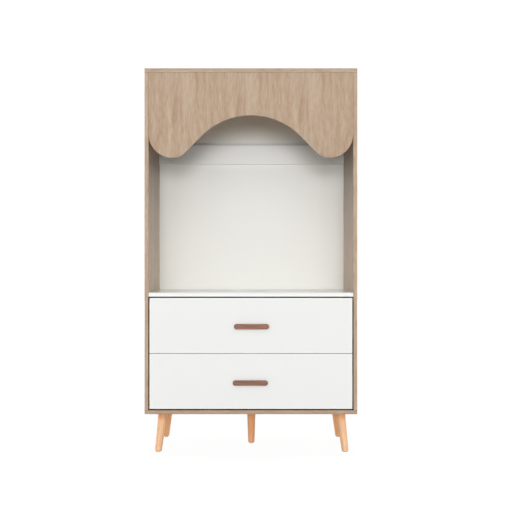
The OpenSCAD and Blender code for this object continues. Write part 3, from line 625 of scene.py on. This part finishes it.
def glideFinish(name):
    # Pale moulded plastic, scuffed where it meets the floor
    finish = Finish(name, Specular_IOR_Level=0.4)
    height = finish.axes(finish.place())[2]
    spots = finish.noise(finish.place(), *glide["spots"])
    scuffs = finish.rise(height, glide["scuffHeight"], 0.0)
    scuffs = scuffs * finish.rise(spots, *glide["spotRange"])
    finish.set("Base Color", finish.mix(scuffs, linear(glide["colour"]), linear(glide["scuffed"])))
    plain, more = glide["roughness"]
    finish.set("Roughness", plain + scuffs * more)
    finish.bump(spots, glide["depth"])
    return finish.material


shaping = {
    "sharpAngle": 32.0,            # degrees between two faces, from which their edge stays sharp
    "easedSegments": 3,            # flat strips round an eased edge
    "inFace": 0.00001,             # how near to a side of the box a point lies in it
    "fullDepth": 0.99,             # share of a board's thickness that its cut rim spans
}


def weldedMesh(node):
    # A node's triangles with the points that coincide made one, and without those that collapse
    mesh = frame["nodes"][node].data
    places = np.empty(len(mesh.vertices) * 3)
    mesh.vertices.foreach_get("co", places)
    corners = np.empty(len(mesh.loops), dtype=int)
    mesh.loops.foreach_get("vertex_index", corners)
    points, index = np.unique(places.reshape(-1, 3).round(6), axis=0, return_inverse=True)
    triangles = index.reshape(-1)[corners].reshape(-1, 3)
    whole = (np.diff(np.sort(triangles, axis=1), axis=1) > 0).all(axis=1)
    return points, triangles[whole]


def sharedEdges(points, triangles):
    # Each edge once, the two triangles on it, and the cosine of the angle between them
    pairs = np.sort(triangles[:, [[0, 1], [1, 2], [2, 0]]].reshape(-1, 2), axis=1)
    owners = np.repeat(np.arange(len(triangles)), 3)
    edges, index, count = np.unique(pairs, axis=0, return_inverse=True, return_counts=True)
    owners = owners[np.argsort(index.reshape(-1), kind="stable")]
    last = np.cumsum(count) - 1
    first = last - count + 1
    sides = np.stack([owners[first], owners[last]], axis=1)
    corner = points[triangles]
    normals = np.cross(corner[:, 1] - corner[:, 0], corner[:, 2] - corner[:, 0])
    normals /= np.maximum(np.linalg.norm(normals, axis=1, keepdims=True), 1e-15)
    return edges, sides, (normals[sides[:, 0]] * normals[sides[:, 1]]).sum(axis=1)


def outsideFaces(points, triangles, thickAxis=None):
    # Triangles that lie in a face of the node's box or, where thickAxis is given, run from one
    # face of the board to the other as its cut rim does
    low, high = points.min(axis=0), points.max(axis=0)
    gaps = np.concatenate([points - low, high - points], axis=1)
    inPlane = gaps < shaping["inFace"]
    outside = inPlane[triangles].all(axis=1).any(axis=1)
    if thickAxis is not None:
        depth = points[triangles][:, :, thickAxis]
        outside |= np.ptp(depth, axis=1) > shaping["fullDepth"] * (high - low)[thickAxis]
    return outside


def edgeMarks(mesh, edges, chosen):
    # 1 for each of the mesh's own edges that is among the chosen ones, and 0 for the others
    own = np.empty(len(mesh.edges) * 2, dtype=int)
    mesh.edges.foreach_get("vertices", own)
    span = len(mesh.vertices)
    keys = np.sort(own.reshape(-1, 2), axis=1) @ [span, 1]
    return np.isin(keys, edges[chosen] @ [span, 1])


def dressed(node, material, radius=0.0, thickAxis=None):
    # A copy of a node with smooth round faces and, where a radius is given, eased outer edges
    points, triangles = weldedMesh(node)
    edges, sides, turn = sharedEdges(points, triangles)
    sharp = turn < math.cos(math.radians(shaping["sharpAngle"]))
    outside = outsideFaces(points, triangles, thickAxis)
    eased = sharp & outside[sides].all(axis=1) & (radius > 0)
    mesh = bpy.data.meshes.new(camel(node))
    mesh.from_pydata(points, [], triangles)
    mesh.shade_smooth()
    crisp = mesh.attributes.new("sharp_edge", "BOOLEAN", "EDGE")
    crisp.data.foreach_set("value", edgeMarks(mesh, edges, sharp & ~eased))
    piece = placed(camel(node), mesh)
    if radius > 0:
        weight = mesh.attributes.new("bevel_weight_edge", "FLOAT", "EDGE")
        weight.data.foreach_set("value", edgeMarks(mesh, edges, eased).astype(np.float32))
        bevel = piece.modifiers.new("easedEdges", "BEVEL")
        bevel.limit_method = "WEIGHT"
        bevel.width = radius
        bevel.segments = shaping["easedSegments"]
        bevel.use_clamp_overlap = False
    finishPiece(piece, material, node)


def finishPiece(piece, material, node):
    # Evens a piece's shading, gives it its material, and lets it stand for its node on that
    # node's body
    soften = piece.modifiers.new("flatFaces", "WEIGHTED_NORMAL")
    soften.keep_sharp = True
    piece.data.materials.append(material)
    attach(piece, bodyOfNode[node])
    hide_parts(node)


def surfacePiece(name, surfaces, local=None):
    # A mesh of closed surfaces, each a grid of points whose last axis runs round the piece.
    # A ring without a size closes as a pole, and open ends get one flat face each.
    points, faces, start = [], [], 0
    for grid in surfaces:
        rows, columns = grid.shape[:2]
        index = start + np.arange(rows * columns).reshape(rows, columns)
        beside = np.roll(index, -1, axis=1)
        quads = np.stack([index[:-1], beside[:-1], beside[1:], index[1:]], axis=-1)
        faces += quads.reshape(-1, 4).tolist()
        faces += [index[0][::-1].tolist(), index[-1].tolist()]
        points.append(grid.reshape(-1, 3))
        start += rows * columns
    mesh = bpy.data.meshes.new(name)
    mesh.from_pydata(np.concatenate(points), [], faces)
    if local is not None:
        grain = mesh.attributes.new("grain", "FLOAT_VECTOR", "POINT")
        grain.data.foreach_set("vector", np.ascontiguousarray(local, dtype=np.float32).reshape(-1))
    mesh.shade_smooth()
    mesh.set_sharp_from_angle(angle=math.radians(shaping["sharpAngle"]))
    return placed(name, mesh)


leg = {
    "height": 0.180,          # from the floor to the bottom panel
    "boss": 0.010,            # height of the plate's boss above the leg's end
    "tilt": 9.0,              # degrees, for the corner legs
    "footDiameter": 0.030,
    "topDiameter": 0.042,     # reached at the bottom panel
    "glideProud": 0.002,
    "glideBore": 0.0096,      # radius of the seat for the glide
    "glideDepth": 0.0061,
    "footRound": 0.0050,      # radius of the rounded edge at the floor
    "topRound": 0.0012,
    "straight": 0.020,        # length at each end whose rings don't turn
    "pole": 0.00005,          # radius at which a surface closes
    "soleSlack": 0.0001,      # how far over the glide's seat a point still is in the sole
    "segments": 72,
    "footRows": 7,            # rings round the foot's edge, up the taper and round the top edge
    "shaftRows": 14,
    "topRows": 4,
    "shift": 3.0,             # moves the wood with the leg's place, so that no two look alike
}


def legProfile():
    # Rows from the glide's seat round the foot, up the taper and onto the end under the boss:
    # the height over the floor, the radius and how far the ring has turned square to the axis.
    # The foot's edge is a quarter circle, and the taper is a straight line between two radii.
    footR = leg["footDiameter"] / 2
    slope = (leg["topDiameter"] - leg["footDiameter"]) / 2 / leg["height"]
    low, seat = leg["glideProud"], leg["height"] - leg["boss"]
    quarter = np.linspace(0, math.pi / 2, leg["footRows"])
    heights = low + leg["footRound"] * (1 - np.cos(quarter))
    reaches = footR + slope * heights - leg["footRound"] * (1 - np.sin(quarter))
    shaft = np.linspace(heights[-1], seat - leg["topRound"], leg["shaftRows"])[1:]
    end = np.linspace(0, math.pi / 2, leg["topRows"])[1:]
    topR = footR + slope * seat
    pole, bore, top = leg["pole"], leg["glideBore"], leg["topRound"]
    height = np.concatenate([
        [leg["glideDepth"], leg["glideDepth"], low], heights, shaft,
        seat - top + top * np.sin(end), [seat],
    ])
    radius = np.concatenate([
        [pole, bore, bore], reaches, footR + slope * shaft, topR - top * (1 - np.cos(end)), [pole],
    ])
    straight = leg["straight"]
    square = np.clip((height - straight) / (seat - 2 * straight), 0, 1)
    return height, radius, square * square * (3 - 2 * square)


def legPiece(node):
    # A ring's point is its centre on the tilted axis, plus the radius times a cosine along the
    # lean and a sine across it. A ring that lies level is longer along the lean.
    points = weldedMesh(node)[0]
    sole = points[points[:, 2] < leg["glideProud"] + leg["soleSlack"]]
    centre = (sole.min(axis=0) + sole.max(axis=0)) / 2
    tilt = 0.0 if node == "centre_leg" else math.radians(leg["tilt"])
    lean = np.array([-np.sign(centre[0]), -np.sign(centre[1]), 0.0]) / math.sqrt(2)
    if node == "centre_leg":
        lean = np.array([1.0, 0.0, 0.0])
    up = np.array([0.0, 0.0, 1.0])
    side = np.cross(up, lean)
    height, radius, square = legProfile()
    angle = np.linspace(0, 2 * math.pi, leg["segments"], endpoint=False)
    foot = np.array([centre[0], centre[1], 0.0]) - leg["glideProud"] * math.tan(tilt) * lean
    middle = foot + height[:, None] * (up + math.tan(tilt) * lean)
    ringTilt = square * tilt
    along = np.cos(ringTilt)[:, None] * lean - np.sin(ringTilt)[:, None] * up
    along = along / np.cos(tilt - ringTilt)[:, None]
    cosine = (radius[:, None] * np.cos(angle))[:, :, None]
    sine = (radius[:, None] * np.sin(angle))[:, :, None]
    grid = middle[:, None] + cosine * along[:, None] + sine * side
    lengthwise = np.broadcast_to(height[:, None, None], cosine.shape)
    shift = np.array([centre[0], centre[1], 0.0]) * leg["shift"]
    local = np.concatenate([cosine, sine, lengthwise], axis=2) + shift
    piece = surfacePiece(camel(node), [grid], local)
    # the rear legs and the centre leg take copies of the beech that paint light and shade
    wood = {"front": "pale", "rear": "warm", "centre": "deep"}[node.split("_")[0]]
    material = beechFinish(camel(node), lambda finish: finish.node(
        "Attribute", {"attribute_name": "grain"}, output="Vector",
    ), wood)
    finishPiece(piece, material, node)


for node in ("front_left_leg", "front_right_leg", "rear_left_leg", "rear_right_leg", "centre_leg"):
    legPiece(node)
print("stage: legs turned")


handle = {
    "barDepth": 0.012,
    "frontRound": 0.0042,     # radius of the bar's front edge
    "rearRound": 0.0025,
    "footDiameter": 0.014,
    "footSpacing": 0.128,
    "footSunk": 0.001,        # how far a foot runs into the bar
    "flare": 0.0015,          # how much wider a foot is where it meets the front
    "flareHeight": 0.003,
    "segments": 40,
    "edgeRows": 8,            # rings round an edge of the bar
    "footRows": 12,           # and along a foot
}


def stadium(centre, halfLength, halfHeight, inset, depth):
    # Rings round a bar with round ends, drawn in by inset, at a depth along Y for each ring.
    # A ring is two half circles, and the straight stretches are the gaps between them.
    half = np.linspace(-math.pi / 2, math.pi / 2, handle["segments"])
    angle = np.concatenate([half, half + math.pi])
    way = np.repeat([1.0, -1.0], handle["segments"])
    reach = halfHeight - inset[:, None]
    x = centre[0] + way * (halfLength - halfHeight) + reach * np.cos(angle)
    z = centre[2] + reach * np.sin(angle)
    y = np.broadcast_to(depth[:, None], x.shape)
    return np.stack([x, y, z], axis=-1)


def handlePiece(node):
    # The bar's edges are quarter circles, and each foot is turned with a small flare at its base
    low, high = (np.array(corner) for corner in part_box(node))
    centre = (low + high) / 2
    front, back = low[1], low[1] + handle["barDepth"]
    quarter = np.linspace(0, math.pi / 2, handle["edgeRows"])
    rear, nose = handle["rearRound"], handle["frontRound"]
    inset = np.concatenate([rear * (1 - np.sin(quarter)), nose * (1 - np.cos(quarter))])
    depth = np.concatenate([
        back - rear * (1 - np.cos(quarter)), front + nose * (1 - np.sin(quarter)),
    ])
    half = (high - low) / 2
    bar = stadium(centre, half[0], half[2], inset, depth)
    wall = high[1]
    angle = np.linspace(0, 2 * math.pi, handle["segments"], endpoint=False)
    lift = np.linspace(0, 1, handle["footRows"])[:, None]
    along = wall + (back - handle["footSunk"] - wall) * lift
    flare = handle["flare"] * np.clip(1 - (wall - along) / handle["flareHeight"], 0, 1) ** 2
    reach = handle["footDiameter"] / 2 + flare
    feet = [np.stack(np.broadcast_arrays(
        centre[0] + side * handle["footSpacing"] / 2 + reach * np.cos(angle),
        along,
        centre[2] + reach * np.sin(angle),
    ), axis=-1) for side in (-1, 1)]
    piece = surfacePiece(camel(node), [bar, *feet])
    finishPiece(piece, stainFinish(camel(node), (low, high)), node)


handlePiece("upper_drawer_handle")
handlePiece("lower_drawer_handle")
print("stage: handles shaped")


oakBoards = {
    # node: the grain's axis, the axis across it, and factors of the board's red, green and blue;
    # these factors paint light and shade, lightening the side panels, the left one most, and
    # darkening the bottom panel
    "top_panel": (0, 1, (1.01, 0.99, 0.97)),
    "bottom_panel": (0, 1, (0.95, 0.90, 0.84)),
    "left_side_panel": (2, 1, (1.12, 1.12, 1.12)),
    "right_side_panel": (2, 1, (1.03, 1.01, 0.99)),
    "valance_panel": (2, 0, (1.005, 0.995, 0.985)),
}
for node, (along, across, paintedLightTint) in oakBoards.items():
    box = [list(corner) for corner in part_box(node)]
    material = oakFinish(camel(node), along, across, box, paintedLightTint)
    thickAxis = 1 if node == "valance_panel" else None   # its cut rim runs along Y
    dressed(node, material, edging["round"], thickAxis)
print("stage: oak boards eased")

whiteBoards = {
    # node: edge radius and the rims that get a painted highlight
    "drawer_deck": (0.0009, ()),
    "back_rail": (0.0007, ()),
    "upper_drawer_front": (0.0014, ((0, 0), (0, 1), (2, 1))),
    "lower_drawer_front": (0.0014, ((0, 0), (0, 1))),
    "upper_drawer_left_side": (0.0007, ()),
    "upper_drawer_right_side": (0.0007, ()),
    "upper_drawer_back": (0.0007, ()),
    "lower_drawer_left_side": (0.0007, ()),
    "lower_drawer_right_side": (0.0007, ()),
    "lower_drawer_back": (0.0007, ()),
}
for node, (radius, rims) in whiteBoards.items():
    box = [list(corner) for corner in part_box(node)]
    dressed(node, whiteFinish(node, box, rims), radius)
print("stage: white boards eased")

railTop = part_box("back_rail")[1][2]
backPaint = hardboardFinish("backHardboard", (1, 1.0), bay["half"], railTop)
basePaint = hardboardFinish("drawerHardboard", (2, -1.0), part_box("upper_drawer_bottom")[1][0])
for node in ("upper_back_panel", "lower_back_panel"):
    dressed(node, backPaint)
for node in ("upper_drawer_bottom", "lower_drawer_bottom"):
    dressed(node, basePaint)

metalOfSlot = {slot: metalFinish(camel(slot), metal) for slot, metal in metals.items()}
for node, slot in slotOfNode.items():
    if slot in metalOfSlot:
        dressed(node, metalOfSlot[slot])
dressed("leg_glides", glideFinish("glidePlastic"))
dressed("carcass_dowels", beechFinish("dowelBirch", lambda finish: finish.place(), "warm"))
print("stage: hardboard, fittings and fasteners finished")


studio = {
    "floorSize": 30.0,
    "floorColour": (0.5, 0.5, 0.5, 1.0),
    "floorRoughness": 0.9,
    "floorGlow": 0.85,          # share of plain white that a viewer sees in the near floor
    "glowStrength": 1.115,      # brings the open floor up to plain white
    "farFloor": (3.5, 8.0),     # distances between which that share rises to all of it
    "domeStrength": 0.34,       # light of the surroundings on the object
    "distance": 20.0,           # from a lamp to what it is aimed at
    "aim": (0.0, 0.0, 1.0),
    "lamps": {
        # name: watts, diameter, azimuth and elevation; azimuth 0 is in front of the wardrobe
        "low": (790.0, 4.0, 0.0, 3.0),
        "key": (600.0, 4.0, 0.0, 8.0),
        "high": (330.0, 8.0, 0.0, 30.0),
        "lowLeft": (198.0, 4.4, -13.0, 3.0),
        "lowRight": (198.0, 4.4, 13.0, 3.0),
        "keyLeft": (131.0, 4.4, -13.0, 9.0),
        "keyRight": (131.0, 4.4, 13.0, 9.0),
        "wideLeft": (66.0, 4.4, -26.0, 9.0),
        "wideRight": (66.0, 4.4, 26.0, 9.0),
        "fill": (112.0, 6.0, -35.0, 7.0),
        "rearLeft": (1500.0, 10.0, -110.0, 14.0),
        "rearRight": (1500.0, 10.0, 110.0, 14.0),
        "rear": (1500.0, 10.0, 180.0, 14.0),
        "above": (600.0, 10.0, 180.0, 50.0),
    },
}


def seenByViewer(finish):
    # 1 where a ray comes from the viewer or from a mirror-like surface, and 0 for light on things
    path = finish.tree.nodes.new("ShaderNodeLightPath")
    rays = ("Is Camera Ray", "Is Glossy Ray", "Is Transmission Ray")
    camera, glossy, through = (Wire(finish, path.outputs[ray]) for ray in rays)
    return finish.math("MAXIMUM", camera, finish.math("MAXIMUM", glossy, through))


def makeFloor():
    # A pale matte plane, seen as nearly white with the object's soft shadow left in it
    size = studio["floorSize"] / 2
    mesh = bpy.data.meshes.new("floor")
    corners = [(-size, -size, 0), (size, -size, 0), (size, size, 0), (-size, size, 0)]
    mesh.from_pydata(corners, [], [(0, 1, 2, 3)])
    floor = placed("floor", mesh)
    finish = Finish(
        "floorPaint", Base_Color=studio["floorColour"], Roughness=studio["floorRoughness"],
        Specular_IOR_Level=0.0,
    )
    glow = finish.node("Emission", inputs={
        "Color": (1.0, 1.0, 1.0, 1.0), "Strength": studio["glowStrength"],
    })
    away = finish.node("VectorMath", {"operation": "LENGTH"}, {0: finish.place()}, "Value")
    near = studio["floorGlow"]
    share = seenByViewer(finish) * (near + (1 - near) * finish.rise(away, *studio["farFloor"]))
    blend = finish.node("MixShader", inputs={
        0: share, 1: Wire(finish, finish.shader.outputs[0]), 2: glow,
    })
    finish.feed(finish.tree.nodes["Material Output"].inputs["Surface"], blend)
    mesh.materials.append(finish.material)


class Sky(Finish):
    # The world's nodes, built with the same helpers as a material's
    def __init__(self, world):
        world.use_nodes = True
        self.tree = world.node_tree
        self.shader = self.tree.nodes["Background"]


def makeLight():
    # Round soft lamps on a sphere about the wardrobe, and an even dome all round
    world = bpy.data.worlds.new("studio")
    bpy.context.scene.world = world
    sky = Sky(world)
    sky.set("Color", (1.0, 1.0, 1.0, 1.0))
    dome = studio["domeStrength"]
    sky.set("Strength", dome + (1 - dome) * seenByViewer(sky))
    for name, (watts, size, azimuth, elevation) in studio["lamps"].items():
        lamp = bpy.data.lights.new(name, "AREA")
        lamp.energy = watts
        lamp.shape = "DISK"
        lamp.size = size
        holder = placed(name, lamp)
        side, rise = math.radians(azimuth), math.radians(elevation)
        way = Vector((
            math.sin(side) * math.cos(rise), -math.cos(side) * math.cos(rise), math.sin(rise),
        ))
        holder.location = Vector(studio["aim"]) + way * studio["distance"]
        holder.rotation_euler = way.to_track_quat("Z", "Y").to_euler()
        holder.visible_camera = False
        holder.visible_glossy = False   # glossy things show the white surroundings instead


view = {
    "place": (0.0294, -4.5675, 0.880),
    "focalPixels": 969.5,      # focal length, in pixels of a square image
    "imagePixels": 515.0,
    "sensor": 36.0,            # millimetres
    "farthest": 100.0,         # how far the camera sees
}


def makeCamera():
    # A level camera that looks straight along +Y
    lens = bpy.data.cameras.new("camera")
    lens.sensor_width = view["sensor"]
    lens.lens = view["focalPixels"] / view["imagePixels"] * view["sensor"]
    lens.clip_end = view["farthest"]
    camera = placed("camera", lens)
    camera.location = view["place"]
    camera.rotation_euler = (math.radians(90), 0.0, 0.0)
    bpy.context.scene.camera = camera


makeFloor()
makeLight()
makeCamera()
bpy.context.scene.view_settings.view_transform = "Standard"
print("stage: floor, light and camera placed")
